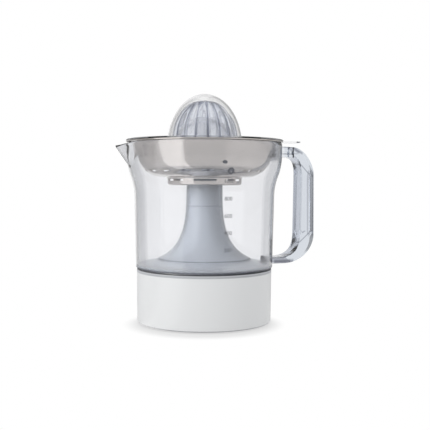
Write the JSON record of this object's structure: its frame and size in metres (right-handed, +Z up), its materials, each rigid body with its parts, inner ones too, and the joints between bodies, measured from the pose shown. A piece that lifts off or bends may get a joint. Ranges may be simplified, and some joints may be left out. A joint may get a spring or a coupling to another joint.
{
  "type": "citrus press juicer",
  "caption": "Electric citrus press with round power unit, clear measuring jug, steel strainer, ribbed cone and clear domed cover.",
  "frame": {"origin": "on the drive axis in the plane of the feet's undersides", "axes": "+Z up along the drive axis, +X towards the jug's handle, -X towards its spout, -Y to the jug's marked front"},
  "size_m": [0.2062, 0.1566, 0.2273],
  "materials": {
    "housing": "gloss white moulded plastic",
    "ring": "satin light grey moulded plastic",
    "tower": "gloss grey-blue moulded plastic",
    "clear": "clear moulded plastic with a faint blue tint",
    "cover": "clear neutral moulded plastic",
    "strainer": "polished stainless sheet",
    "collar": "grey-blue moulded plastic",
    "rubber": "matt dark rubber",
    "steel": "ground steel",
    "screw": "zinc plated steel",
    "bronze": "sintered bronze",
    "brass": "cut brass",
    "gear": "natural acetal",
    "motor": "dark coated can",
    "black": "black moulded plastic",
    "plate": "light grey moulded plastic"
  },
  "bodies": {
    "base": {"base_housing": "housing", "trim_ring": "ring", "tower_cover": "tower", "tower_cap": "tower", "upper_bush": "bronze", "lower_bush": "bronze", "gear_plate": "steel", "plate_screws": "screw", "motor_body": "motor", "motor_screws": "screw", "idler_pin": "steel", "return_spring": "steel", "micro_switch": "black", "base_plate": "plate", "base_screws": "screw", "deck_screws": "screw", "feet": "rubber", "cord_gland": "rubber"},
    "carrier": {"thrust_cup": "gear"},
    "shaft": {"drive_shaft": "steel", "output_gear": "gear"},
    "idler": {"idler_gear": "gear"},
    "rotor": {"motor_pinion": "brass"},
    "lever": {"switch_lever": "steel"},
    "jug": {"jug": "clear"},
    "strainer": {"strainer_bowl": "strainer", "strainer_collar": "collar"},
    "hub": {"cone_hub": "clear"},
    "cone": {"reamer": "clear"},
    "cover": {"dust_cover": "cover"}
  },
  "joints": [
    {"name": "shaft_press", "type": "slide", "parent": "base", "child": "carrier", "axis": [0, 0, 1], "range_m": [-0.002, 0], "stiffness_N_per_m": 400, "springref_m": 0.004, "deforming": ["return_spring"]},
    {"name": "shaft_spin", "type": "hinge", "parent": "carrier", "child": "shaft", "pos_m": [0, 0, 0.0222], "axis": [0, 0, 1], "continuous": true},
    {"name": "idler_spin", "type": "hinge", "parent": "base", "child": "idler", "pos_m": [-0.01675, 0.02244, 0.0319], "axis": [0, 0, 1], "continuous": true},
    {"name": "motor_spin", "type": "hinge", "parent": "base", "child": "rotor", "pos_m": [-0.0335, 0, 0.0319], "axis": [0, 0, 1], "continuous": true},
    {"name": "lever_tilt", "type": "hinge", "parent": "base", "child": "lever", "pos_m": [0.0311, 0, 0.0177], "axis": [0, 1, 0], "range_deg": [-7, 0.5]},
    {"name": "jug_lift", "type": "slide", "parent": "base", "child": "jug", "axis": [0, 0, 1], "range_m": [0, 0.16]},
    {"name": "strainer_lift", "type": "slide", "parent": "jug", "child": "strainer", "axis": [0, 0, 1], "range_m": [0, 0.09]},
    {"name": "lid_lift", "type": "slide", "parent": "strainer", "child": "cover", "axis": [0, 0, 1], "range_m": [0, 0.09]},
    {"name": "cone_spin", "type": "hinge", "parent": "strainer", "child": "hub", "pos_m": [0, 0, 0.1563], "axis": [0, 0, 1], "continuous": true},
    {"name": "cone_lift", "type": "slide", "parent": "hub", "child": "cone", "axis": [0, 0, 1], "range_m": [0, 0.06]}
  ],
  "couplings": [
    {"joint": "idler_spin", "follows": "shaft_spin", "ratio": -3.6667},
    {"joint": "motor_spin", "follows": "shaft_spin", "ratio": 13.444},
    {"joint": "cone_spin", "follows": "shaft_spin", "ratio": 1},
    {"joint": "lever_tilt", "follows": "shaft_press", "rad_per_m": 48.571},
    {"joint": "cone_lift", "follows": "lid_lift", "ratio": 0.66667}
  ]
}
